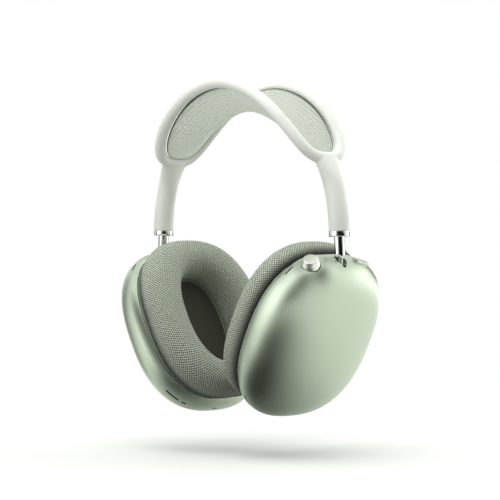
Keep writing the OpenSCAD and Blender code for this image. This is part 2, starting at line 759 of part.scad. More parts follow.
// Canopy: a thin sheet that hangs between the rails like a saddle
canopy_edge_drop = 2.6;                      // how far below the rail centres its edges are held
canopy_long_power = 4.2;                     // fullness of the hang along the arch
canopy_fold = 0.3;                           // how softly the hang rounds off across the middle
canopy_long = 22;
canopy_cross = 9;
canopy_first = 4;                            // loop angle of the sheet's first row
canopy_inset = rail_r + soft_gap;
// Arch angle and half width of the sheet's edge beside the rail's point p
function canopy_edge(p) =
    let (t = rail_angle(p), k = norm(arch(t + 0.5) - arch(t - 0.5)),
         d = unit([k * (rail_angle(p + 0.6) - rail_angle(p - 0.6)),
                   rail_centre(p + 0.6)[1] - rail_centre(p - 0.6)[1]]))
    [t + canopy_inset * d[1] / k, rail_centre(p)[1] - canopy_inset * d[0]];
function canopy_point(p, v, lift) =
    let (e = canopy_edge(p), f = (90 - e[0]) / (90 - canopy_edge(canopy_first)[0]),
         round_v = (sqrt(v * v + canopy_fold * canopy_fold) - canopy_fold) /
                   (sqrt(1 + canopy_fold * canopy_fold) - canopy_fold),
         hang = canopy_edge_drop + (canopy_sag - canopy_edge_drop) *
                (1 - pow(abs(f), canopy_long_power)) * (1 - round_v) - lift)
    arch(e[0]) + [0, v * e[1], 0] - hang * arch_out(e[0]);
module canopy() {
    rows = [for (i = [canopy_long:-1:0]) canopy_first + (180 - 2 * canopy_first) * i / canopy_long];
    cols = [for (j = [0:canopy_cross]) -1 + 2 * j / canopy_cross];
    color(knit_color) band_place() skin([for (p = rows) concat(
        [for (v = cols) canopy_point(p, v, 0)],
        [for (j = [canopy_cross:-1:0]) canopy_point(p, cols[j], canopy_t)])]);
}

// ---------------------------------------------------------------- nodes

band_sleeve();
band_core();
canopy();
at_arm("left") collar();  // left_collar
at_arm("left") stem_tube();  // left_stem_tube
at_arm("left") slide_bush();  // left_slide_bush
at_arm("right") collar();  // right_collar
at_arm("right") stem_tube();  // right_stem_tube
at_arm("right") slide_bush();  // right_slide_bush
at_arm("left") arm();  // left_arm
at_arm("left") arm_stop();  // left_arm_stop
at_knuckle("left") knuckle();  // left_knuckle
at_knuckle("left") swivel_clip();  // left_swivel_clip
at_arm("right") arm();  // right_arm
at_arm("right") arm_stop();  // right_arm_stop
at_knuckle("right") knuckle();  // right_knuckle
at_knuckle("right") swivel_clip();  // right_swivel_clip
at_cup("left") shell("left");  // left_shell
at_cup("left") pivot_block();  // left_pivot_block
at_cup("left") tilt_pin();  // left_tilt_pin
at_cup("left") baffle();  // left_baffle
at_cup("left") baffle_magnets();  // left_baffle_magnets
at_cup("left") driver_basket();  // left_driver_basket
at_cup("left") driver_cone();  // left_driver_cone
at_cup("left") driver_magnet();  // left_driver_magnet
at_cup("left") battery_tray();  // left_battery_tray
at_cup("left") battery_cells();  // left_battery_cells
at_cup("left") screws("left");  // left_screws
at_cup("left") mic_meshes("left");  // left_mic_meshes
at_cup("left") cushion();  // left_cushion
at_cup("left") cushion_plate();  // left_cushion_plate
at_cup("left") cushion_magnets();  // left_cushion_magnets
at_cup("left") ear_cloth();  // left_ear_cloth
at_cup("right") shell("right");  // right_shell
at_cup("right") pivot_block();  // right_pivot_block
at_cup("right") tilt_pin();  // right_tilt_pin
at_cup("right") baffle();  // right_baffle
at_cup("right") baffle_magnets();  // right_baffle_magnets
at_cup("right") driver_basket();  // right_driver_basket
at_cup("right") driver_cone();  // right_driver_cone
at_cup("right") driver_magnet();  // right_driver_magnet
at_cup("right") logic_board();  // right_logic_board
at_cup("right") screws("right");  // right_screws
at_cup("right") mic_meshes("right");  // right_mic_meshes
at_cup("right") cushion();  // right_cushion
at_cup("right") cushion_plate();  // right_cushion_plate
at_cup("right") cushion_magnets();  // right_cushion_magnets
at_cup("right") ear_cloth();  // right_ear_cloth
at_cup("right") crown();
at_cup("right") crown_stem();
at_cup("right") crown_housing();
at_cup("right") crown_switch();
at_cup("right") mode_button();
at_cup("right") button_housing();
at_cup("right") button_switch();
at_cup("right") charge_socket();
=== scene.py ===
# Over-ear headset: a steel-cored headband in a soft sleeve with a knitted canopy, two chromed
# telescoping arms, and two anodised aluminium cups with knit-covered cushions.
from math import atan2, cos, hypot, pi, radians, sin, sqrt
import bmesh
import bpy
from mathutils import Matrix, Vector


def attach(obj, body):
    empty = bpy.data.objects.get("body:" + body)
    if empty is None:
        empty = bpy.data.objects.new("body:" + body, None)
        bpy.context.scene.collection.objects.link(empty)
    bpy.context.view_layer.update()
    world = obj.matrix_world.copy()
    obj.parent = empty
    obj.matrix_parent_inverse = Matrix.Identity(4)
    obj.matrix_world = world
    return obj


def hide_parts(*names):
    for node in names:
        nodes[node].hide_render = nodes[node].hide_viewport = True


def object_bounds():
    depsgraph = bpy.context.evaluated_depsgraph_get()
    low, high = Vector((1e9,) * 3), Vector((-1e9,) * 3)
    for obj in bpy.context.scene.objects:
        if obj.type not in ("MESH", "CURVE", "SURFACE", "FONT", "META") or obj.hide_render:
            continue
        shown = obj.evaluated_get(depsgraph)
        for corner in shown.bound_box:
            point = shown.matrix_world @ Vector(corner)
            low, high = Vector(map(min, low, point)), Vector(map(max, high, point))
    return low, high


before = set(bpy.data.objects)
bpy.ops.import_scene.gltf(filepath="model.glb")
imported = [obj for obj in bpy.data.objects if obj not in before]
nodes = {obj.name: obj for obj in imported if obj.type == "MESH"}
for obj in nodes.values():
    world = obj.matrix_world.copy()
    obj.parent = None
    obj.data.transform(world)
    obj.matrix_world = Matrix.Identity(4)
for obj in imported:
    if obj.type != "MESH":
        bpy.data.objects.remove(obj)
cad_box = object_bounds()
scene = bpy.context.scene

# ---- Camera ----
# A long lens 1.2 m from the headset, almost level with the cups and well round to the side,
# so that the face of one cup and the outside of the other both show.
turn, rise = radians(43.81), radians(0.734)
toward = Vector((sin(turn) * cos(rise), -cos(turn) * cos(rise), sin(rise)))
across = Vector((cos(turn), sin(turn), 0))
camera = bpy.data.objects.new("camera", bpy.data.cameras.new("camera"))
scene.collection.objects.link(camera)
camera.data.lens = 155.12
camera.data.sensor_width = 36
camera.location = across * 0.00118 + Vector((0, 0, -0.077591)) + toward * 1.210015
camera.rotation_euler = toward.to_track_quat("Z", "Y").to_euler()
scene.camera = camera
scene.view_settings.view_transform = "Standard"

# ---- Studio ----
# A white room: a pale matt floor, white air, five soft lamps and a snoot, and black cloths that
# give the metal something dark to mirror. The floor clears the cups with arms out and cups upright.
slide_out, cup_drop = 0.009, 0.013
floor_level = cad_box[0][2] - slide_out - cup_drop


def colour(code):
    """Linear RGBA of an sRGB hex colour."""
    parts = [int(code[i:i + 2], 16) / 255 for i in (1, 3, 5)]
    return [p / 12.92 if p <= 0.04045 else ((p + 0.055) / 1.055) ** 2.4 for p in parts] + [1]


def fill(node, sockets):
    """Sets a node's inputs, by name or number, to values, outputs or nodes' first outputs."""
    for key, value in sockets.items():
        if isinstance(value, bpy.types.Node):
            value = value.outputs[0]
        if isinstance(value, bpy.types.NodeSocket):
            node.id_data.links.new(value, node.inputs[key])
        else:
            node.inputs[key].default_value = value


def add(tree, kind, sockets=None, stops=(), **settings):
    """Adds a shader node with its settings, its inputs and a ramp's stops."""
    made = tree.nodes.new("ShaderNode" + kind)
    for key, value in settings.items():
        setattr(made, key, value)
    for k, (at, code) in enumerate(stops):
        made.color_ramp.elements[k].position = at
        made.color_ramp.elements[k].color = colour(code)
    fill(made, sockets or {})
    return made


def bare_tree(owner):
    """Empty node tree of a new material or world."""
    owner.use_nodes = True
    owner.node_tree.nodes.clear()
    return owner.node_tree


def seen_straight(tree):
    """1 for a ray from the camera, a mirror or a glass, and 0 for the light on a surface."""
    path = add(tree, "LightPath")
    seen = add(tree, "Math", {0: path.outputs["Is Camera Ray"], 1: path.outputs["Is Glossy Ray"]})
    return add(tree, "Math", {0: seen, 1: path.outputs["Is Transmission Ray"]}, use_clamp=True)


def object_from(name, bm, material):
    """Closes a bmesh into an object at the origin with one material."""
    mesh = bpy.data.meshes.new(name)
    bm.to_mesh(mesh)
    bm.free()
    made = bpy.data.objects.new(name, mesh)
    scene.collection.objects.link(made)
    if material:
        mesh.materials.append(material)
    return made


air = bpy.data.worlds.new("white_air")
scene.world = air
tree = bare_tree(air)
place = add(tree, "TexCoord")
apart = add(tree, "SeparateXYZ", {0: place.outputs["Generated"]})
overhead = add(tree, "MapRange", {0: apart.outputs[2], 1: -0.7, 2: 0.8, 3: 0.2, 4: 1.15})
facing = add(tree, "VectorMath", {0: place.outputs["Generated"], 1: toward},
             operation="DOT_PRODUCT")
dim = add(tree, "MapRange", {0: facing.outputs["Value"], 1: -0.8, 2: 0.8, 3: 1.2, 4: 0.42})
glow = add(tree, "Math", {0: overhead, 1: dim}, operation="MULTIPLY")
lit = add(tree, "Background", {"Color": colour("#FFFFFF"), "Strength": glow})
white = add(tree, "Background", {"Color": colour("#FFFFFF"), "Strength": 1.0})
both = add(tree, "MixShader", {0: seen_straight(tree), 1: lit, 2: white})
add(tree, "OutputWorld", {"Surface": both})

# Matt painted floor: chalky, no gloss; it fades into the white air away from the object. The
# light it throws back up is a painted glow, dim near the object as painted shade of the cups and
# brighter further out.
floor_paint = bpy.data.materials.new("matt_white_paint")
tree = bare_tree(floor_paint)
place = add(tree, "TexCoord")
distance = add(tree, "VectorMath", {0: place.outputs["Object"]}, operation="LENGTH")
far = add(tree, "MapRange", {0: distance.outputs["Value"], 1: 0.22, 2: 0.56},
          interpolation_type="SMOOTHSTEP")
grain = add(tree, "TexNoise", {"Vector": place.outputs["Object"], "Scale": 900})
relief = add(tree, "Bump", {"Strength": 0.05, "Distance": 0.0002, "Height": grain})
paint = add(tree, "BsdfDiffuse", {"Color": colour("#E2E3E0"), "Normal": relief})
lift = add(tree, "Emission", {"Color": colour("#FFFFFF"), "Strength": 0.1})
near = add(tree, "AddShader", {0: paint, 1: lift})
glow = add(tree, "Emission", {"Color": colour("#FFFFFF"), "Strength": 1.0})
fade = add(tree, "MixShader", {0: far, 1: near, 2: glow})
# painted shade: the floor's glow on surfaces is 0.03 within 0.14 m of the middle and rises to 0.6
# by 0.32 m
beyond = add(tree, "MapRange", {0: distance.outputs["Value"], 1: 0.14, 2: 0.32, 3: 0.03, 4: 0.6},
             interpolation_type="SMOOTHSTEP")
painted_floor_glow = add(tree, "Emission", {"Color": colour("#FFFFFF"), "Strength": beyond})
shown = add(tree, "MixShader", {0: seen_straight(tree), 1: painted_floor_glow, 2: fade})
add(tree, "OutputMaterial", {"Surface": shown})

bm = bmesh.new()
bmesh.ops.create_circle(bm, cap_ends=True, segments=96, radius=6)
bmesh.ops.translate(bm, vec=(0, 0, floor_level), verts=bm.verts)
object_from("floor", bm, floor_paint)


middle = Vector((0, 0, -0.09))


def round_about(aim, turn_from_camera, height, away):
    """Point at an angle from the camera's side of aim, and its height above aim, in degrees."""
    a, e = turn + radians(turn_from_camera), radians(height)
    return aim + Vector((sin(a) * cos(e), -cos(a) * cos(e), sin(e))) * away


def lamp(name, turn_from_camera, height, away, size, level):
    """Soft rectangular lamp aimed at the headset; level is how bright its face looks."""
    data = bpy.data.lights.new(name, "AREA")
    data.shape = "RECTANGLE"
    data.size, data.size_y = size
    data.energy = level * pi * size[0] * size[1]
    made = bpy.data.objects.new(name, data)
    scene.collection.objects.link(made)
    made.location = round_about(middle, turn_from_camera, height, away)
    made.rotation_euler = (made.location - middle).to_track_quat("Z", "Y").to_euler()
    return made


# The first and third lamp only show in the metal; the last two and the snoot only light surfaces
lamp("lamp_left", -61, 20, 0.9, (0.76, 0.9), 1.15).visible_diffuse = False
lamp("lamp_right", 126, 7, 0.95, (1.5, 0.62), 1.55)
lamp("lamp_crown", 180, 72, 0.6, (0.26, 0.26), 2.2).visible_diffuse = False
lamp("lamp_top", -25, 70, 1.1, (0.9, 0.8), 2.7).visible_glossy = False
lamp("lamp_side", 85, 50, 1.0, (0.8, 0.8), 0.3).visible_glossy = False
band = Vector((0, 0, 0.016))
snoot = bpy.data.objects.new("snoot", bpy.data.lights.new("snoot", "SPOT"))
scene.collection.objects.link(snoot)
snoot.data.energy, snoot.data.shadow_soft_size = 14, 0.12
snoot.data.spot_size, snoot.data.spot_blend = radians(13), 0.4
snoot.location = round_about(band, -50, 8, 1.0)
snoot.rotation_euler = (snoot.location - band).to_track_quat("Z", "Y").to_euler()
snoot.visible_glossy = False

# Black cotton cloth that thins out towards its edges, kept out of the camera's sight
flag_cloth = bpy.data.materials.new("black_cotton")
tree = bare_tree(flag_cloth)
on_cloth = add(tree, "UVMap", uv_map="cloth")
from_middle = add(tree, "VectorMath", {0: on_cloth}, operation="LENGTH")
cover = add(tree, "MapRange", {0: from_middle.outputs["Value"], 1: 1.0, 2: 0.35},
            interpolation_type="SMOOTHSTEP")
place = add(tree, "TexCoord")
weave = add(tree, "TexNoise", {"Vector": place.outputs["Object"], "Scale": 400})
shade = add(tree, "ValToRGB", {0: weave}, stops=((0, "#161715"), (1, "#242622")))
cloth = add(tree, "BsdfDiffuse", {"Color": shade})
thin = add(tree, "BsdfTransparent")
hung = add(tree, "MixShader", {0: cover, 1: thin, 2: cloth})
add(tree, "OutputMaterial", {"Surface": hung})


def flag(name, where, face, size, up=Vector((0, 0, 1))):
    """Hangs a cloth at a point, facing a direction, with its height along up."""
    side, ahead = up.cross(face).normalized(), face.normalized()
    turned_to = Matrix((side, ahead.cross(side), ahead)).transposed().to_4x4()
    bm = bmesh.new()
    spread = bm.loops.layers.uv.new("cloth")
    bmesh.ops.create_grid(bm, x_segments=1, y_segments=1, size=0.5)
    for f in bm.faces:
        for loop in f.loops:
            loop[spread].uv = (loop.vert.co.x * 2, loop.vert.co.y * 2)
    bmesh.ops.transform(bm, matrix=Matrix.Translation(where) @ turned_to
                        @ Matrix.Diagonal((size[0], size[1], 1, 1)), verts=bm.verts)
    made = object_from(name, bm, flag_cloth)
    made.visible_camera = made.visible_diffuse = made.visible_shadow = False


front = round_about(middle, 6, 0, 0.7)
flag("flag_front", front, middle - front, (1.2, 1.4))
low = toward * 0.12 - across * 0.035
flag("flag_low", Vector((low.x, low.y, floor_level + 0.001)), Vector((0, 0, 1)), (0.36, 0.36),
     toward)
wall = toward * 0.004 - across * 0.055 + Vector((0, 0, -0.128))      # side wall of the far cup
card = toward * 0.027 - across * 0.074 + Vector((0, 0, -0.12))
flag("card_far_lip", card, wall - card, (0.042, 0.16),
     Vector((0, 0, 0.027)) - across * 0.018 - toward * 0.0145)
card = round_about(wall, -127, 0, 0.08)
flag("card_far_back", card, wall - card, (0.05, 0.24))
for side, sign, facet, angle in (("left", -1, "inner", -155), ("right", 1, "face", 34)):
    rod_middle = Vector((0.0687 * sign, 0, -0.0766))                 # of a polished arm
    for name, turned_by, away, width in (("outer", 150, 0.075, 0.1), (facet, angle, 0.036, 0.045)):
        card = round_about(rod_middle, turned_by, 0, away)
        flag("card_" + name + "_" + side, card, rod_middle - card, (width, 0.06))

# ---- Headband sleeve ----
# Soft-touch elastomer moulded over a sprung steel frame: two round rails that part over the head
# and meet in one thicker stem at each end. Moulded, so its joins are filleted and seamless.
half_spacing, band_rise, arch_power = 68.2, 82.0, 1.91          # millimetres
collar_z = -66.6
rail_r, rail_spread, rail_share = 3.15, 23.4, 0.667
spread_power, spread_root = 2.95, 1 / 3.3                        # how the rails part
stem_r, arm_lean = 5.65, 3.0
tube_bore, bore_deep = 3.68, 19.6
to_metres = Matrix.Scale(0.001, 4)
band_place = to_metres @ Matrix.Translation((0, 0, collar_z))


def spow(value, power):
    return (abs(value) ** power) * (1 if value >= 0 else -1)


def arch(t):
    """Point of the headband's arch, t in degrees from the right collar."""
    return Vector((half_spacing * spow(cos(radians(t)), 2 / arch_power), 0,
                   band_rise * spow(sin(radians(t)), 2 / arch_power)))


def arch_out(t):
    d = (arch(t + 0.5) - arch(t - 0.5)).normalized()
    return Vector((d.z, 0, -d.x))


def rail_angle(p):
    return 90 * (1 - rail_share * cos(radians(p)))


def rail_half(f):
    return rail_spread * max(0, 1 - abs(f) ** spread_power) ** spread_root


def rail_centre(p):
    s = sin(radians(p))
    return arch(rail_angle(p)) + Vector((0, (s > 0) - (s < 0), 0)) * rail_half(cos(radians(p)))


def ring_place(centre, side, up, along):
    """Matrix that puts a unit circle at centre with its two half axes."""
    return Matrix([(*v, 0) for v in (side, up, along)] + [(*centre, 1)]).transposed()


def sweep(bm, places, sides, closed=False):
    """Extrudes a circle through a row of places."""
    ring = bmesh.ops.create_circle(bm, segments=sides, radius=1)["verts"]
    start = list(ring)
    bmesh.ops.transform(bm, matrix=places[0], verts=ring)
    edges = list({e for v in ring for e in v.link_edges})
    first = list(edges)
    for before, after in zip(places, places[1:]):
        grown = bmesh.ops.extrude_edge_only(bm, edges=edges)["geom"]
        ring = [g for g in grown if isinstance(g, bmesh.types.BMVert)]
        edges = [g for g in grown if isinstance(g, bmesh.types.BMEdge)]
        bmesh.ops.transform(bm, matrix=after @ before.inverted(), verts=ring)
    if closed:
        bmesh.ops.remove_doubles(bm, verts=start + ring, dist=0.001)
    else:
        for loop in (first, edges):
            bmesh.ops.contextual_create(bm, geom=loop)


def settle(made):
    """Applies an object's modifiers to its mesh."""
    bpy.context.view_layer.update()
    solid = bpy.data.meshes.new_from_object(
        made.evaluated_get(bpy.context.evaluated_depsgraph_get()))
    made.modifiers.clear()
    made.data = solid
    return made


def join_solid(made, bm, how):
    """Joins, keeps or cuts a solid with another by an exact boolean."""
    tool = object_from("cutter", bm, None)
    cut = made.modifiers.new("cut", "BOOLEAN")
    cut.operation, cut.solver, cut.object = how, "EXACT", tool
    settle(made)
    bpy.data.objects.remove(tool)


def smooth_shade(made, angle=35):
    made.data.polygons.foreach_set("use_smooth", [True] * len(made.data.polygons))
    made.data.set_sharp_from_angle(angle=radians(angle))


def skin_material(name, sockets):
    """New material with its tree and its principled shader, whose constants are set."""
    made = bpy.data.materials.new(name)
    made.use_nodes = True
    shader = made.node_tree.nodes["Principled BSDF"]
    fill(shader, sockets)
    return made, made.node_tree, shader


# Soft-touch elastomer (TPE), moulded in a spark-eroded tool: a silky, slightly waxy matt surface.
# The tool's grain is 0.1 mm and is drawn at 0.35 mm so that it shows.
sleeve_rubber, tree, skin = skin_material("soft_touch_elastomer", {
    "Roughness": 0.46, "IOR": 1.5, "Subsurface Weight": 0.12,
    "Subsurface Radius": (1.0, 1.0, 0.9), "Subsurface Scale": 0.0012, "Sheen Weight": 0.15,
    "Sheen Roughness": 0.5})
place = add(tree, "TexCoord")
cloudy = add(tree, "TexNoise", {"Vector": place.outputs["Object"], "Scale": 35, "Detail": 3})
tone = add(tree, "ValToRGB", {0: cloudy}, stops=((0.35, "#E9ECE3"), (0.65, "#EDF0E8")))
grain = add(tree, "TexNoise", {"Vector": place.outputs["Object"], "Scale": 1 / 0.00035,
                               "Detail": 2})
relief = add(tree, "Bump", {"Strength": 0.25, "Distance": 0.00002, "Height": grain})
fill(skin, {"Base Color": tone, "Normal": relief})

bm = bmesh.new()
shrink, stem_shrink = 0.10, 0.04     # what the smoothing below takes off a rail and a stem
rail_steps, stem_steps = 144, 40
widen, flatten, widen_from = 3.2, 2.0, 0.62      # of a stem's top, where it meets the rails
places = []
for k in range(rail_steps + 1):
    p = 360 * k / rail_steps + 1.25
    along = (rail_centre(p + 0.6) - rail_centre(p - 0.6)).normalized()
    side = along.cross(arch_out(rail_angle(p))).normalized()
    up = along.cross(side).normalized()
    r = rail_r + shrink
    places.append(ring_place(rail_centre(p), side * r, up * r, along))
sweep(bm, places, 24, closed=True)
junction = 90 * (1 - rail_share)
for mirrored in (1, -1):
    places = []
    for k in range(stem_steps + 1):
        f = k / stem_steps
        g = max(0, (f - widen_from) / (1 - widen_from))
        w = g * g * (3 - 2 * g)
        t = -4 + (junction + 0.5 + 4) * f
        out = arch_out(t)
        along = (arch(t + 0.5) - arch(t - 0.5)).normalized()
        c, n, d = (Vector((v.x * mirrored, v.y, v.z)) for v in (arch(t), out, along))
        places.append(ring_place(c, Vector((0, stem_r + widen * w + stem_shrink, 0)),
                                 n * (stem_r - flatten * w + stem_shrink), d))
    sweep(bm, places, 40)
bmesh.ops.remove_doubles(bm, verts=bm.verts, dist=0.0001)
bmesh.ops.recalc_face_normals(bm, faces=bm.faces)
sleeve = object_from("sleeve", bm, sleeve_rubber)
voxels = sleeve.modifiers.new("join", "REMESH")
voxels.mode = "VOXEL"
voxels.voxel_size = 0.6
soften = sleeve.modifiers.new("soften", "SMOOTH")
soften.factor, soften.iterations = 0.5, 10
settle(sleeve)
bm = bmesh.new()
bm.from_mesh(sleeve.data)
for mirrored in (1, -1):             # cut square where the collar meets the sleeve
    up = Vector((-sin(radians(arm_lean)) * mirrored, 0, cos(radians(arm_lean))))
    foot = Vector((half_spacing * mirrored, 0, 0)) + up * 0.02
    bmesh.ops.bisect_plane(bm, geom=bm.verts[:] + bm.edges[:] + bm.faces[:], dist=0.0001,
                           plane_co=foot, plane_no=up)
    drop = [v for v in bm.verts if (v.co - foot).dot(up) < -0.001 and v.co.x * mirrored > 0]
    bmesh.ops.delete(bm, geom=drop, context="VERTS")
bmesh.ops.holes_fill(bm, edges=[e for e in bm.edges if e.is_boundary], sides=0)
bmesh.ops.recalc_face_normals(bm, faces=bm.faces)
bm.to_mesh(sleeve.data)
bm.free()
for mirrored in (1, -1):             # each stem is bored for the tube that the rod slides up
    bore = bmesh.new()
    up_stem = (Matrix.Translation((half_spacing * mirrored, 0, 0))
               @ Matrix.Rotation(radians(-arm_lean * mirrored), 4, "Y"))
    bmesh.ops.create_cone(bore, cap_ends=True, segments=64, radius1=tube_bore, radius2=tube_bore,
                          depth=2 * bore_deep, matrix=up_stem)
    join_solid(sleeve, bore, "DIFFERENCE")
sleeve.data.transform(band_place)
smooth_shade(sleeve, 50)
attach(sleeve, "headband")
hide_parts("band_sleeve")

# ---- Canopy ----
# Knitted polyester mesh, one sheet stretched over the opening between the rails and tucked in
# beside them, so it hangs in a shallow saddle and carries the headset's weight on the head.
canopy_inset = rail_r + 0.03
edge_drop, canopy_sag, canopy_t = 2.6, 15.4, 1.2
first_row = 2                        # where along the opening the sheet starts, in degrees
sag_power, sag_round = 4.2, 0.3      # how fast the sag grows from the ends, and its round middle


def canopy_edge(p):
    """Arch angle and half width of the sheet beside the rail's point p."""
    t = rail_angle(p)
    k = (arch(t + 0.5) - arch(t - 0.5)).length
    d = Vector((k * (rail_angle(p + 0.6) - rail_angle(p - 0.6)),
                rail_centre(p + 0.6).y - rail_centre(p - 0.6).y)).normalized()
    return t + canopy_inset * d[1] / k, rail_centre(p).y - canopy_inset * d[0]


def canopy_point(p, v, lift):
    """Point of the sheet: p along the opening in degrees, v across it from -1 to 1."""
    t, half = canopy_edge(p)
    f = (90 - t) / (90 - canopy_edge(first_row)[0])
    round_v, rim_v = (sqrt(x * x + sag_round ** 2) - sag_round for x in (v, 1))
    hang = (edge_drop + (canopy_sag - edge_drop) * (1 - abs(f) ** sag_power) * (1 - round_v / rim_v)
            - lift)
    return arch(t) + Vector((0, v * half, 0)) - arch_out(t) * hang


def wave(tree, run, pitch):
    """Cosine that repeats each pitch along run."""
    turns = add(tree, "Math", {0: run, 1: 2 * pi / pitch}, operation="MULTIPLY")
    return add(tree, "Math", {0: turns}, operation="COSINE")


# Warp-knitted polyester mesh: eyes between loops, 0.6 mm apart and drawn 1.25 mm along and 1.9 mm
# across so that they show, which give a dotted, ribbed face that lets the light through
eyes_along, eyes_across = 1.25, 1.9
canopy_knit, tree, skin = skin_material("knitted_polyester_mesh", {
    "Roughness": 0.85, "Subsurface Weight": 0.6, "Subsurface Radius": (1.0, 1.0, 1.0),
    "Subsurface Scale": 0.003, "Sheen Weight": 0.35, "Sheen Roughness": 0.4})
uv = add(tree, "UVMap", uv_map="rows")
apart = add(tree, "SeparateXYZ", {0: uv})
along_sheet = wave(tree, apart.outputs[0], eyes_along)
loops = add(tree, "Math", {0: along_sheet, 1: wave(tree, apart.outputs[1], eyes_across)},
            operation="MULTIPLY")
ribs = add(tree, "Math", {0: along_sheet, 1: 0.35, 2: loops}, operation="MULTIPLY_ADD")
height = add(tree, "MapRange", {0: ribs, 1: -1.1, 2: 1.1})
tone = add(tree, "ValToRGB", {0: height}, stops=((0.05, "#BAC3B4"), (0.55, "#F1F5ED")))
# a dark band (#4E574A) round the sheet's edges beside the rails: partly dark piping, partly painted
# shade of the gap between sheet and rail
edges = add(tree, "SeparateXYZ", {0: add(tree, "UVMap", uv_map="rim")})
beside = add(tree, "MapRange", {0: edges.outputs[1], 1: 0.955, 2: 0.985},
             interpolation_type="SMOOTHSTEP")
ends = add(tree, "MapRange", {0: edges.outputs[0], 1: 0.985, 2: 0.995},
           interpolation_type="SMOOTHSTEP")
piping_and_painted_gap_shade = add(tree, "Math", {0: beside, 1: ends}, operation="MAXIMUM")
knit_with_piping_and_shade = add(tree, "Mix", {0: piping_and_painted_gap_shade, 6: tone, 7: colour("#4E574A")}, data_type="RGBA")
relief = add(tree, "Bump", {"Strength": 0.6, "Distance": 0.00025, "Height": ribs})
fill(skin, {"Base Color": knit_with_piping_and_shade.outputs[2], "Normal": relief})
through = add(tree, "BsdfTranslucent", {"Color": knit_with_piping_and_shade.outputs[2], "Normal": relief})
cloth = add(tree, "MixShader", {0: 0.48, 1: skin, 2: through})
fill(tree.nodes["Material Output"], {"Surface": cloth})

bm = bmesh.new()
rows = bm.loops.layers.uv.new("rows")
rim = bm.loops.layers.uv.new("rim")
bmesh.ops.create_grid(bm, x_segments=96, y_segments=32, size=1)
run = [0.0]                          # length of the sheet's middle line up to each degree
span = 180 - 2 * first_row
for k in range(1, span + 1):
    step = canopy_point(first_row + k, 0, 0) - canopy_point(first_row + k - 1, 0, 0)
    run.append(run[-1] + step.length)
for f in bm.faces:
    for loop in f.loops:
        x, v = loop.vert.co.x, loop.vert.co.y
        step = span * (x + 1) / 2
        base = min(int(step), span - 1)
        mm_along = run[base] + (run[base + 1] - run[base]) * (step - base)
        loop[rows].uv = (mm_along, v * canopy_edge(first_row + step)[1])
        loop[rim].uv = (abs(x), abs(v))
for v in bm.verts:
    v.co = canopy_point(first_row + span * (v.co.x + 1) / 2, v.co.y, canopy_t / 2)
bmesh.ops.transform(bm, matrix=band_place, verts=bm.verts)
bmesh.ops.recalc_face_normals(bm, faces=bm.faces)
area = sum(f.calc_area() for f in bm.faces)
for f in bm.faces:
    f.smooth = True
canopy = object_from("canopy_knit", bm, canopy_knit)
wall = canopy.modifiers.new("thickness", "SOLIDIFY")
wall.thickness, wall.offset = canopy_t * 0.001, 0
settle(canopy)
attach(canopy, "headband")
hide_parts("canopy")

# ---- Collars and arms ----
# Stainless steel, turned, polished and chromed: a collar that closes the stem, and a rod that
# slides out of it. Each is a mirror-bright ring with small rounded edges.
collar_h, arm_r, arm_out = 3.2, 2.95, 11.0
arm_tip = -collar_h - arm_out - 1.2
nose_r, nose_h = 1.5, 2.8            # flat and height of the rod's rounded end
collar_edge, collar_lip, stop_step = 0.35, 0.6, 1.2


def arm_place(side):
    """Frame of an arm: origin at the collar's top, Z up the arm."""
    flip = Matrix.Diagonal((-1, 1, 1, 1)) if side == "left" else Matrix.Identity(4)
    return (band_place @ flip @ Matrix.Translation((half_spacing, 0, 0))
            @ Matrix.Rotation(radians(-arm_lean), 4, "Y"))


def spun(points, axis, steps, merge=0.0001, ring=False):
    """Bmesh of a row of points, or of a ring of them, spun once round an axis."""
    bm = bmesh.new()
    dots = [bm.verts.new(p) for p in points]
    lines = [bm.edges.new(pair) for pair in zip(dots, dots[1:] + (dots[:1] if ring else []))]
    bmesh.ops.spin(bm, geom=dots + lines, cent=(0, 0, 0), axis=axis, angle=2 * pi, steps=steps,
                   use_merge=True)
    bmesh.ops.remove_doubles(bm, verts=bm.verts, dist=merge)
    return bm


def turned(profile, steps=72):
    """Solid of revolution about Z from (radius, height) points."""
    bm = spun([(r, 0, z) for r, z in profile], (0, 0, 1), steps, 0.0005)
    bmesh.ops.recalc_face_normals(bm, faces=bm.faces)
    return bm


def put(bm, place):
    """Moves a bmesh into place and turns its faces outwards again."""
    bmesh.ops.transform(bm, matrix=place, verts=bm.verts)
    bmesh.ops.recalc_face_normals(bm, faces=bm.faces)
    return bm


def fillet(x, y, r, start, end, steps=4):
    """Points of a rounded corner about (x, y), angles in degrees."""
    return [(x + r * cos(radians(start + (end - start) * k / steps)),
             y + r * sin(radians(start + (end - start) * k / steps))) for k in range(steps + 1)]


# Chromed steel, buffed: near-mirror, with faint turning lines round the axis 0.05 mm apart
# (drawn at 0.3 mm) that only break the edge of a highlight.
chrome, tree, skin = skin_material("polished_chromed_steel", {
    "Metallic": 1, "Base Color": colour("#D2D4D2")})
place = add(tree, "TexCoord")
turning = add(tree, "TexWave", {"Vector": place.outputs["Object"], "Scale": 520, "Distortion": 1.5},
              bands_direction="Z")
haze = add(tree, "TexNoise", {"Vector": place.outputs["Object"], "Scale": 260, "Detail": 3})
rough = add(tree, "MapRange", {0: haze, 1: 0.3, 2: 0.7, 3: 0.06, 4: 0.12})
relief = add(tree, "Bump", {"Strength": 0.05, "Distance": 0.00001,
                            "Height": turning.outputs["Fac"]})
fill(skin, {"Roughness": rough, "Normal": relief})

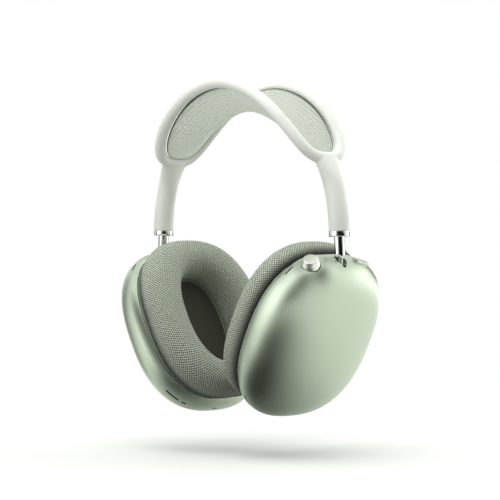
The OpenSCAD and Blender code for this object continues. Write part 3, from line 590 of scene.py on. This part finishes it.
tube_r = arm_r + 0.3 + 0.05 + 0.35
for side in ("left", "right"):
    lip, seat = arm_r + 0.2, tube_r + 0.03
    edge_r, inside = stem_r - collar_edge, -collar_h + collar_lip
    outline = ([(lip, -collar_h)] + fillet(edge_r, -collar_h + collar_edge, collar_edge, -90, 0)
               + fillet(edge_r, -0.01 - collar_edge, collar_edge, 0, 90)
               + [(seat, -0.01), (seat, inside), (lip, inside), (lip, -collar_h)])
    collar = object_from(side + "_collar_ring", put(turned(outline), arm_place(side)), chrome)
    smooth_shade(collar)
    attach(collar, "headband")
    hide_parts(side + "_collar")

    # the rod's lower end is a bored bullet; its upper end is turned down for the stop ring
    bore, hollow, top = 1.1 + 0.05, 1.75, arm_out + 0.3
    spigot, shoulder, bore_top = arm_r - 0.65, top - stop_step, arm_tip + 6.5
    tip = [(nose_r + (arm_r - nose_r) * sin(radians(a)), arm_tip + nose_h * (1 - cos(radians(a))))
           for a in range(0, 91, 9)]
    outline = ([(bore, arm_tip)] + tip + [(arm_r, shoulder), (spigot, shoulder), (spigot, top),
               (hollow, top), (hollow, bore_top), (bore, bore_top), (bore, arm_tip)])
    rod = object_from(side + "_rod", put(turned(outline), arm_place(side)), chrome)
    smooth_shade(rod)
    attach(rod, side + "_arm")
    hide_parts(side + "_arm")

# ---- Steel and plastic inside the headband and arms ----
# The sprung core, the tubes and bushes that guide the rods, and the knuckles that join a rod to
# its cup. Only the knuckles show, in the cups' top recesses.


def dress(material, *names):
    """Gives CAD nodes a material."""
    for name in names:
        for slot in nodes[name].material_slots:
            slot.material = material


def grained(name, sockets, grain, codes=None, rough=None, bump=None, stretch=(1, 1, 1)):
    """Material whose colour, roughness and relief (its strength and depth) follow one grain."""
    made, tree, skin = skin_material(name, sockets)
    place = add(tree, "TexCoord")
    drawn = add(tree, "Mapping", {0: place.outputs["Object"], 3: stretch})
    cloudy = add(tree, "TexNoise", {"Vector": drawn, **grain})
    if codes:
        fill(skin, {"Base Color": add(tree, "ValToRGB", {0: cloudy}, stops=zip((0, 1), codes))})
    if rough:
        fill(skin, {"Roughness": add(tree, "MapRange", {0: cloudy, 3: rough[0], 4: rough[1]})})
    if bump:
        relief = add(tree, "Bump", {"Strength": bump[0], "Distance": bump[1], "Height": cloudy})
        fill(skin, {"Normal": relief})
    return made


# Spring steel, cold drawn and tumbled: dull grey with fine draw lines along the part
steel = grained("tumbled_spring_steel", {"Metallic": 1}, {"Scale": 1, "Detail": 3},
                ("#8C8F8E", "#B4B7B5"), (0.22, 0.36), (0.15, 0.00002), (4000, 4000, 350))

# Glass-filled nylon, moulded: matt dark grey-green with a slight fibre swirl, 1.5 mm across
nylon = grained("glass_filled_nylon", {"IOR": 1.53, "Roughness": 0.55},
                {"Scale": 1 / 0.0015, "Detail": 4, "Distortion": 1.2},
                ("#4D544A", "#626A5E"), bump=(0.2, 0.00003))

# Blasted steel, lacquered to match the cups: satin and pale green, faintly cloudy every 2 mm
green_steel = grained("lacquered_blasted_steel", {"Metallic": 1}, {"Scale": 500, "Detail": 3},
                      ("#BECBB6", "#C4D1BC"), (0.38, 0.46))

dress(steel, "band_core")
for side in ("left", "right"):
    dress(green_steel, side + "_knuckle")
    dress(steel, side + "_stem_tube", side + "_swivel_clip")
    dress(nylon, side + "_slide_bush", side + "_arm_stop")

# ---- Cup shells ----
# Each cup is one cup-shaped aluminium shell, machined, bead-blasted and anodised pale green,
# with slots for the microphones and vents, and a recess on top where the arm enters.
cup_a, cup_b, cup_power = 41.7, 49.3, 2.52
dome_depth, dome_power, cup_inset, lip_depth, lip_draw = 20.0, 2.47, 6.7, 7.0, 0.06
shell_wall, pivot_depth, pivot_drop, cup_tilt = 1.6, 7.0, 23.1, 28.0
swivel = {"right": -4.7, "left": 3.2}
cup_centre_z = pivot_depth - cup_b
lip_x = -cup_inset - lip_depth
tilt_travel, neck_r, wall_above_pin, slot_w = radians(31), 1.5, 7.3, 3.3   # for the tilt slot
crown_x, crown_back, crown_hole_r = -cup_inset + 3, 20.4, 5.35
button_x, button_front = -cup_inset + 3.7, 15.5
seat_r, seat_flat_r, seat_lift = 18, 4, 1.5


def cup_place(side):
    """Frame of a cup: origin at the tilt pin, X away from the head."""
    flip = Matrix.Diagonal((-1, 1, 1, 1)) if side == "left" else Matrix.Identity(4)
    return (band_place @ flip @ Matrix.Translation((half_spacing, 0, 0))
            @ Matrix.Rotation(radians(-arm_lean), 4, "Y") @ Matrix.Translation((0, 0, -pivot_drop))
            @ Matrix.Rotation(radians(swivel[side]), 4, "Z")
            @ Matrix.Rotation(radians(cup_tilt + arm_lean), 4, "Y"))


def edge_place(x, y, bottom=False):
    """Frame on the cup's edge, inside the cup's own frame: Z points out of the cup."""
    z = cup_b * (1 - (abs(y) / cup_a) ** cup_power) ** (1 / cup_power)
    lean = atan2(spow(y / cup_a, cup_power - 1) / cup_a, (z / cup_b) ** (cup_power - 1) / cup_b)
    flip = Matrix.Diagonal((1, 1, -1, 1)) if bottom else Matrix.Identity(4)
    return (Matrix.Translation((x, 0, cup_centre_z)) @ flip @ Matrix.Translation((0, y, z))
            @ Matrix.Rotation(-lean, 4, "X"))


def outline_reach(angle, a, b, power):
    """Distance from the middle of a rounded outline to its edge, at an angle."""
    return (abs(cos(angle) / a) ** power + abs(sin(angle) / b) ** power) ** (-1 / power)


def oblong(length, width, z0, z1, steps=32):
    """Oblong bar whose length lies along Y."""
    bm = bmesh.new()
    bmesh.ops.create_circle(bm, cap_ends=True, segments=steps, radius=width / 2,
                            matrix=Matrix.Rotation(pi / steps, 4, "Z"))
    for v in bm.verts:
        v.co.y += (length - width) / 2 * (1 if v.co.y > 0 else -1)
        v.co.z = z0
    grown = bmesh.ops.extrude_face_region(bm, geom=bm.faces[:])["geom"]
    bmesh.ops.translate(bm, vec=(0, 0, z1 - z0),
                        verts=[g for g in grown if isinstance(g, bmesh.types.BMVert)])
    bmesh.ops.recalc_face_normals(bm, faces=bm.faces)
    return bm


# Aluminium, bead-blasted with 0.1 mm glass beads and dyed pale green in the anodising bath:
# a satin metal with a soft wide highlight and a barely visible sparkle, drawn at 0.3 mm.
anodised, tree, skin = skin_material("anodised_blasted_aluminium", {
    "Metallic": 1, "Coat Weight": 0.4, "Coat Roughness": 0.35, "Coat IOR": 1.6})
place = add(tree, "TexCoord")
beads = add(tree, "TexNoise", {"Vector": place.outputs["Object"], "Scale": 1 / 0.0003, "Detail": 2})
bath = add(tree, "TexNoise", {"Vector": place.outputs["Object"], "Scale": 22, "Detail": 2})
tone = add(tree, "ValToRGB", {0: bath}, stops=((0, "#BECBB6"), (1, "#C4D1BC")))
rough = add(tree, "MapRange", {0: beads, 1: 0.3, 2: 0.7, 3: 0.41, 4: 0.47})
relief = add(tree, "Bump", {"Strength": 0.25, "Distance": 0.00001, "Height": beads})
fill(skin, {"Base Color": tone, "Roughness": rough, "Normal": relief})


def stretch_out(bm, reach_at):
    """Turns a round form about X into the cup's rounded outline, from the reach at an angle."""
    for v in bm.verts:
        angle, k = atan2(v.co.z, v.co.y), hypot(v.co.y, v.co.z)
        reach = reach_at(angle, k)
        v.co = Vector((v.co.x, reach * cos(angle), reach * sin(angle) + cup_centre_z))


def cup_skin(inset, back=0):
    """Outer skin of a cup, drawn in by inset; back closes it that far behind the lip."""
    line = [(-cup_inset - lip_depth * s, 1 - lip_draw * s * s) for s in (1, 0.9, 0.75, 0.5, 0.25)]
    if back:
        line = [(lip_x - back, 0), (lip_x - back, 1 - lip_draw)] + line
    depth, bulge = dome_depth - inset, 2 / dome_power
    line += [(-cup_inset + depth * sin(a) ** bulge, cos(a) ** bulge)
             for a in (pi / 2 * k / 40 for k in range(40))] + [(-cup_inset + depth, 0)]
    bm = spun([(x, k, 0) for x, k in line], (1, 0, 0), 216)
    stretch_out(bm, lambda angle, k: k * outline_reach(angle, cup_a - inset, cup_b - inset,
                                                       cup_power))
    bmesh.ops.recalc_face_normals(bm, faces=bm.faces)
    for f in bm.faces:
        f.smooth = True
    return bm


def bowl(radius):
    """Flattened ball that dishes the recess under the arm."""
    bm = bmesh.new()
    bmesh.ops.create_uvsphere(bm, u_segments=48, v_segments=32, radius=radius)
    bmesh.ops.transform(bm, matrix=Matrix.Translation((-3.2, 0, pivot_depth + 1.3))
                        @ Matrix.Diagonal((1, 0.8, 1, 1)), verts=bm.verts)
    return bm


for side in ("left", "right"):
    bm = cup_skin(0)
    if side == "right":              # the wall swells into a soft flat seat round the crown
        seat = edge_place(crown_x, -crown_back)
        for v in bm.verts:
            p = seat.inverted() @ v.co
            r = hypot(p.x, p.y)
            if p.z > -30 and r < seat_r:         # the skin on this side of the cup only
                w = (seat_r - max(r, seat_flat_r)) / (seat_r - seat_flat_r)
                p.z += min(seat_lift, max(0, -0.1 - p.z)) * w * w * w * (10 - 15 * w + 6 * w * w)
                v.co = seat @ p
        bmesh.ops.recalc_face_normals(bm, faces=bm.faces)
    shell = object_from(side + "_cup_shell", bm, anodised)
    wall = shell.modifiers.new("wall", "SOLIDIFY")
    wall.thickness, wall.offset, wall.use_even_offset = shell_wall, -1, True
    settle(shell)
    bm = bmesh.new()
    bm.from_mesh(shell.data)
    rim = [e for e in bm.edges if len(e.link_faces) == 2 and e.calc_face_angle() > radians(50)]
    bmesh.ops.bevel(bm, geom=rim, offset=0.6, affect="EDGES", segments=4, profile=0.5, material=-1)
    bm.to_mesh(shell.data)
    bm.free()
    boss = object_from("boss", bowl(5.5), None)      # thickens the wall round the recess
    join_solid(boss, cup_skin(0.8, back=2), "INTERSECT")
    bm = bmesh.new()
    bm.from_mesh(boss.data)
    bpy.data.objects.remove(boss)
    join_solid(shell, bm, "UNION")

    # the recess, and the slot in which the knuckle's neck moves as the cup tilts
    reach_in = ((wall_above_pin * sin(tilt_travel) + neck_r) / cos(tilt_travel)) + 0.5
    reach_out = neck_r + 0.2
    slot_place = (Matrix.Translation(((reach_out - reach_in) / 2, 0, 0))
                  @ Matrix.Rotation(pi / 2, 4, "Z"))
    cutters = [bowl(4.6), put(oblong(reach_in + reach_out, slot_w, 1, 12), slot_place)]
    mic_x, vent_x, socket_x = -cup_inset - 2.2, -cup_inset + 1.1, -cup_inset + 0.5
    # each slot's place across and along the edge, whether it is below, and its length and width
    slots = [(mic_x, -29.5, False, 6, 1.2), (mic_x, 29.5, False, 6, 1.2),
             (vent_x, -29.8, True, 9.5, 1.2), (vent_x, -23.2, True, 3.4, 1.2)]
    if side == "right":
        slots += [(button_x, button_front, False, 12.4, 4.7), (socket_x, 0, True, 9.5, 3.8)]
        hole = bmesh.new()
        bmesh.ops.create_cone(hole, cap_ends=True, segments=64, radius1=crown_hole_r,
                              radius2=crown_hole_r, depth=12,
                              matrix=edge_place(crown_x, -crown_back))
        cutters.append(hole)
    else:
        slots += [(socket_x, -2.4, True, 3.4, 1.2)]
    for x, y, low, length, width in slots:
        cutters.append(put(oblong(length, width, -5, 4), edge_place(x, y, low)))
    for cutter in cutters:
        join_solid(shell, cutter, "DIFFERENCE")
    bm = bmesh.new()
    bm.from_mesh(shell.data)
    bmesh.ops.transform(bm, matrix=cup_place(side), verts=bm.verts)
    if side == "left":
        bmesh.ops.reverse_faces(bm, faces=bm.faces)
    bm.to_mesh(shell.data)
    bm.free()
    smooth_shade(shell, 35)
    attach(shell, side + "_cup")
    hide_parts(side + "_shell")

# ---- Inside the cups ----
# Baffle, loudspeaker, battery or board, pivot and switches. They are closed in by the cushion
# and show only through the slots, but each still has its own real finish.

# Nickel-plated sintered magnet: bright, with a faint cratered skin 0.5 mm across
magnet = grained("nickel_plated_magnet", {"Metallic": 1, "Base Color": colour("#B9B6AC")},
                 {"Scale": 2000}, rough=(0.18, 0.3), bump=(0.2, 0.00002))

# Coated paper cone, pressed: dark felted fibre, matt
cone_paper = grained("pressed_coated_paper", {"Roughness": 0.7}, {"Scale": 1500, "Detail": 5},
                     ("#303236", "#484B50"), bump=(0.4, 0.00005))

# Lithium cell in its pouch foil: silvery polymer film with shallow crinkles 4 mm apart
foil = grained("polymer_cell_foil", {
    "Metallic": 0.85, "Base Color": colour("#A9AFB4"), "Roughness": 0.32},
    {"Scale": 250, "Detail": 2}, bump=(0.4, 0.0002))

# Glass-epoxy circuit board: glossy green solder mask over copper runs 1.2 mm apart
board, tree, skin = skin_material("glass_epoxy_board", {"IOR": 1.55, "Roughness": 0.28})
place = add(tree, "TexCoord")
runs = add(tree, "TexBrick", {"Vector": place.outputs["Object"], "Scale": 800, "Mortar Size": 0.06,
                              "Color1": colour("#1F4A33"), "Color2": colour("#235239"),
                              "Mortar": colour("#3E7A55")})
fill(skin, {"Base Color": runs})

# Acetal switch body, moulded: off-white, slightly waxy
acetal = grained("moulded_acetal", {"IOR": 1.48, "Roughness": 0.4}, {"Scale": 700, "Detail": 3},
                 ("#C6C7C0", "#D6D7D0"))

# ABS, moulded and painted to match the shells: satin, with a fine 0.4 mm orange peel
painted = grained("painted_moulded_abs", {"IOR": 1.53, "Roughness": 0.35},
                  {"Scale": 1 / 0.0004, "Detail": 2}, ("#8E9A87", "#96A28F"),
                  bump=(0.1, 0.00002))

# Acoustic mesh: black woven polyester, threads 0.25 mm apart
mesh_cloth, tree, skin = skin_material("acoustic_mesh", {"Roughness": 0.8})
place = add(tree, "TexCoord")
threads = add(tree, "TexChecker", {"Vector": place.outputs["Object"], "Scale": 4000,
                                   "Color1": colour("#1D201C"), "Color2": colour("#343A32")})
fill(skin, {"Base Color": threads})

for side in ("left", "right"):
    dress(nylon, side + "_baffle", side + "_driver_basket")
    dress(painted, side + "_cushion_plate")
    dress(magnet, side + "_baffle_magnets", side + "_cushion_magnets", side + "_driver_magnet")
    dress(cone_paper, side + "_driver_cone")
    dress(steel, side + "_pivot_block", side + "_tilt_pin", side + "_screws")
    dress(mesh_cloth, side + "_mic_meshes")
dress(nylon, "left_battery_tray", "crown_housing", "button_housing")
dress(foil, "left_battery_cells")
dress(board, "right_logic_board")
dress(steel, "crown_stem", "charge_socket")
dress(acetal, "crown_switch", "button_switch")

# ---- Cushions ----
# Memory foam rings in a knitted cover, held to the cup by magnets. The foam is moulded to its
# section, full at the crown, and the cover is knitted in rounds, so its rows follow the ring.
cushion_a, cushion_b, cushion_t = 40.35, 48.5, 18.6
cavity_a, cavity_b, cavity_power = 18.0, 28.0, 2.3
cushion_x = lip_x + 0.7 - 0.05 - 1.4 - 0.01
# From the outer back edge over the crown to the cavity: shares of the ring's width and thickness
section = [(0.86, 0), (0.915, 0.05), (0.958, 0.14), (0.987, 0.27), (1, 0.43), (0.977, 0.59),
           (0.91, 0.75), (0.80, 0.89), (0.65, 0.97), (0.49, 1), (0.33, 0.97), (0.18, 0.87),
           (0.07, 0.68), (0.01, 0.42), (0, 0.20), (0.02, 0)]
fine = []                            # the same section with three times the points, rounded off
for k in range(len(section) - 1):
    ends = [section[max(0, min(len(section) - 1, k + j))] for j in (-1, 0, 1, 2)]
    for t in (0, 1 / 3, 2 / 3):
        fine.append(tuple(0.5 * (2 * b + (c - a) * t + (2 * a - 5 * b + 4 * c - d) * t * t
                                 + (3 * b - a - 3 * c + d) * t * t * t)
                          for a, b, c, d in zip(*ends)))
fine.append(section[-1])
stitches = 176                       # in one round
row_pitch = 0.95                     # millimetres between rounds

# Knitted polyester cover: stitches stand in staggered rows, drawn 0.95 mm apart, and the gaps
# between them are dark, which gives a fine lattice. A soft sheen comes off the yarn at a glancing
# look. Towards the back edge, which is tucked in behind, the knit is darkened: painted shade of the
# groove between cushion and shell.
cushion_knit, tree, skin = skin_material("knitted_cushion_cover", {
    "Roughness": 0.9, "Sheen Weight": 0.3, "Sheen Roughness": 0.35})
uv = add(tree, "UVMap", uv_map="rows")
apart = add(tree, "SeparateXYZ", {0: uv})
stitch_wave, row_wave = (wave(tree, apart.outputs[k], k + 1) for k in (0, 1))
lattice = add(tree, "Math", {0: stitch_wave, 1: row_wave}, operation="MULTIPLY")
height = add(tree, "MapRange", {0: lattice, 1: -1, 2: 1})
tone = add(tree, "ValToRGB", {0: height}, stops=((0.1, "#222B1D"), (0.52, "#CFD9C4")))
# painted shade: the knit darkens to #141A0F over the last rows before the back edge, as the groove
# by the shell would be shaded
painted_groove_shade = add(tree, "MapRange", {0: apart.outputs[1], 1: 9, 2: 1}, interpolation_type="SMOOTHSTEP")
knit_with_painted_shade = add(tree, "Mix", {0: painted_groove_shade, 6: tone, 7: colour("#141A0F")}, data_type="RGBA")
relief = add(tree, "Bump", {"Strength": 0.9, "Distance": 0.0004, "Height": lattice})
fill(skin, {"Base Color": knit_with_painted_shade.outputs[2], "Normal": relief})

# Fine dark woven polyester: plain weave, threads 0.6 mm apart, drawn 1.1 mm apart so that they show
thread_pitch = 1.1
ear_weave, tree, skin = skin_material("woven_ear_cloth", {"Roughness": 0.9, "Sheen Weight": 0.2})
uv = add(tree, "UVMap", uv_map="rows")
apart = add(tree, "SeparateXYZ", {0: uv})
weft, warp = (wave(tree, apart.outputs[k], thread_pitch) for k in (0, 1))
cross = add(tree, "Math", {0: weft, 1: warp}, operation="MULTIPLY")
height = add(tree, "MapRange", {0: cross, 1: -1, 2: 1})
tone = add(tree, "ValToRGB", {0: height}, stops=((0, "#0E0F08"), (1, "#454633")))
relief = add(tree, "Bump", {"Strength": 0.5, "Distance": 0.0002, "Height": cross})
fill(skin, {"Base Color": tone, "Normal": relief})


def cushion_reach(angle, k):
    """Distance from the cavity's middle, k from 1 at its edge to 2 at the ring's outer edge."""
    inner = outline_reach(angle, cavity_a, cavity_b, cavity_power)
    outer = outline_reach(angle, cushion_a, cushion_b, cup_power)
    return inner + (k - 1) * (outer - inner)


for side in ("left", "right"):
    bm = spun([(cushion_x - d * cushion_t, 1 + f, 0) for f, d in fine], (1, 0, 0), 120, ring=True)
    rows = bm.loops.layers.uv.new("rows")
    wide = (cushion_a + cushion_b - cavity_a - cavity_b) / 2   # millimetres for one share of width
    lengths = [0.0]
    for (f0, d0), (f1, d1) in zip(fine, fine[1:] + fine[:1]):
        lengths.append(lengths[-1] + hypot((f1 - f0) * wide, (d1 - d0) * cushion_t))
    key = {(round(f, 3), round(d, 3)): k for k, (f, d) in enumerate(fine)}
    for face in bm.faces:
        middle_angle = atan2(face.calc_center_median().z, face.calc_center_median().y)
        spots = []
        for loop in face.loops:
            v = loop.vert.co
            angle = atan2(v.z, v.y)
            angle += 2 * pi * round((middle_angle - angle) / (2 * pi))
            f, d = round(hypot(v.y, v.z) - 1, 3), round((cushion_x - v.x) / cushion_t, 3)
            k = min(key, key=lambda q: abs(q[0] - f) + abs(q[1] - d))
            spots.append((loop, angle, key[k]))
        last = max(s[2] for s in spots) == len(fine) - 1 and min(s[2] for s in spots) == 0
        for loop, angle, k in spots:
            v_mm = lengths[-1] if last and k == 0 else lengths[k]
            loop[rows].uv = (angle / (2 * pi) * stitches, v_mm / row_pitch)
    stretch_out(bm, cushion_reach)
    for f in bm.faces:
        f.smooth = True
    cushion = object_from(side + "_ear_cushion", put(bm, cup_place(side)), cushion_knit)
    plump = cushion.modifiers.new("plump", "SUBSURF")
    plump.levels = plump.render_levels = 1
    settle(cushion)
    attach(cushion, side + "_cushion")
    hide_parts(side + "_cushion")

    # the cloth is stretched over the bottom of the cavity, slightly domed
    bm = spun([(cushion_x - 0.25 - 0.5 * (1 - (k / 12) ** 2), k / 12, 0) for k in range(13)],
              (1, 0, 0), 64)
    rows = bm.loops.layers.uv.new("rows")
    stretch_out(bm, lambda angle, k: k * outline_reach(angle, cavity_a - 1, cavity_b - 1,
                                                       cavity_power))
    for face in bm.faces:
        face.smooth = True
        for loop in face.loops:
            loop[rows].uv = (loop.vert.co.y, loop.vert.co.z)
    put(bm, cup_place(side))
    area = sum(f.calc_area() for f in bm.faces)
    cloth = object_from(side + "_ear_weave", bm, ear_weave)
    wall = cloth.modifiers.new("thickness", "SOLIDIFY")
    wall.thickness, wall.offset = 0.0004, 0
    settle(cloth)
    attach(cloth, side + "_cushion")
    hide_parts(side + "_ear_cloth")

# ---- Crown and button ----
# The volume crown is turned aluminium with a knurled rim and a spun top; the mode button beside
# the arm is a low rounded pill. The crown is anodised paler than the shells, the button like them.
crown_d, crown_h, crown_round = 10.0, 4.1, 0.45
flutes, flute_depth = 60, 0.03

# Turned and anodised aluminium: fine rings and rays on top, drawn 0.3 mm apart, that pull the
# highlight into a fan
crown_metal, tree, skin = skin_material("turned_anodised_aluminium", {
    "Metallic": 1, "Base Color": colour("#F0F3EA")})
uv = add(tree, "UVMap", uv_map="face")
fan = add(tree, "Mapping", {0: uv, 3: (40, 1.5, 1)})
rays = add(tree, "TexNoise", {"Vector": fan, "Scale": 1, "Detail": 2})
rough = add(tree, "MapRange", {0: rays, 1: 0.3, 2: 0.7, 3: 0.3, 4: 0.38})
relief = add(tree, "Bump", {"Strength": 0.08, "Distance": 0.00003, "Height": rays})
fill(skin, {"Roughness": rough, "Normal": relief})

r = crown_d / 2
skirt = [(0, -1.0), (r - 0.6, -1.0), (r - 0.6, -2.6), (r - 0.15, -2.6), (r, -2.4), (r, 0.4)]
flare = [(r - 0.03, 0.9), (r - 0.15, 1.5), (r - 0.34, 2.2), (r - 0.52, 2.8), (r - 0.64, 3.3)]
profile = (skirt + flare
           + fillet(r - 0.69 - crown_round, crown_h - crown_round, crown_round, 0, 90, 6)
           + [(r * 0.6, crown_h), (r * 0.3, crown_h), (0, crown_h)])
bm = turned(profile, steps=3 * flutes)
rows = bm.loops.layers.uv.new("face")
for v in bm.verts:                   # knurl: fine flutes round the side, one in three points deep
    if -0.1 < v.co.z < crown_h - 0.7 and hypot(v.co.x, v.co.y) > r - 0.68:
        if round(atan2(v.co.y, v.co.x) / (2 * pi) * 3 * flutes) % 3 == 0:
            v.co.x *= 1 - flute_depth / r
            v.co.y *= 1 - flute_depth / r
for face in bm.faces:
    c = face.calc_center_median()
    for loop in face.loops:
        a = atan2(loop.vert.co.y, loop.vert.co.x)
        a += 2 * pi * round((atan2(c.y, c.x) - a) / (2 * pi))
        loop[rows].uv = (a, hypot(loop.vert.co.x, loop.vert.co.y))
put(bm, cup_place("right") @ edge_place(crown_x, -crown_back))
crown = object_from("crown_knob", bm, crown_metal)
smooth_shade(crown, 40)
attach(crown, "crown")
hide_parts("crown")

bm = oblong(11.5, 3.8, -2.7, 0.8, steps=48)
top = [e for e in bm.edges if all(v.co.z > 0.7 for v in e.verts)]
bmesh.ops.bevel(bm, geom=top, offset=0.6, affect="EDGES", segments=5, profile=0.5, material=-1)
flange = oblong(12.1, 4.4, -3.4, -2.6, steps=32)
spare = bpy.data.meshes.new("flange")
flange.to_mesh(spare)
flange.free()
bm.from_mesh(spare)
put(bm, cup_place("right") @ edge_place(button_x, button_front))
button = object_from("mode_pill", bm, anodised)
smooth_shade(button, 40)
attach(button, "mode_button")
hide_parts("mode_button")
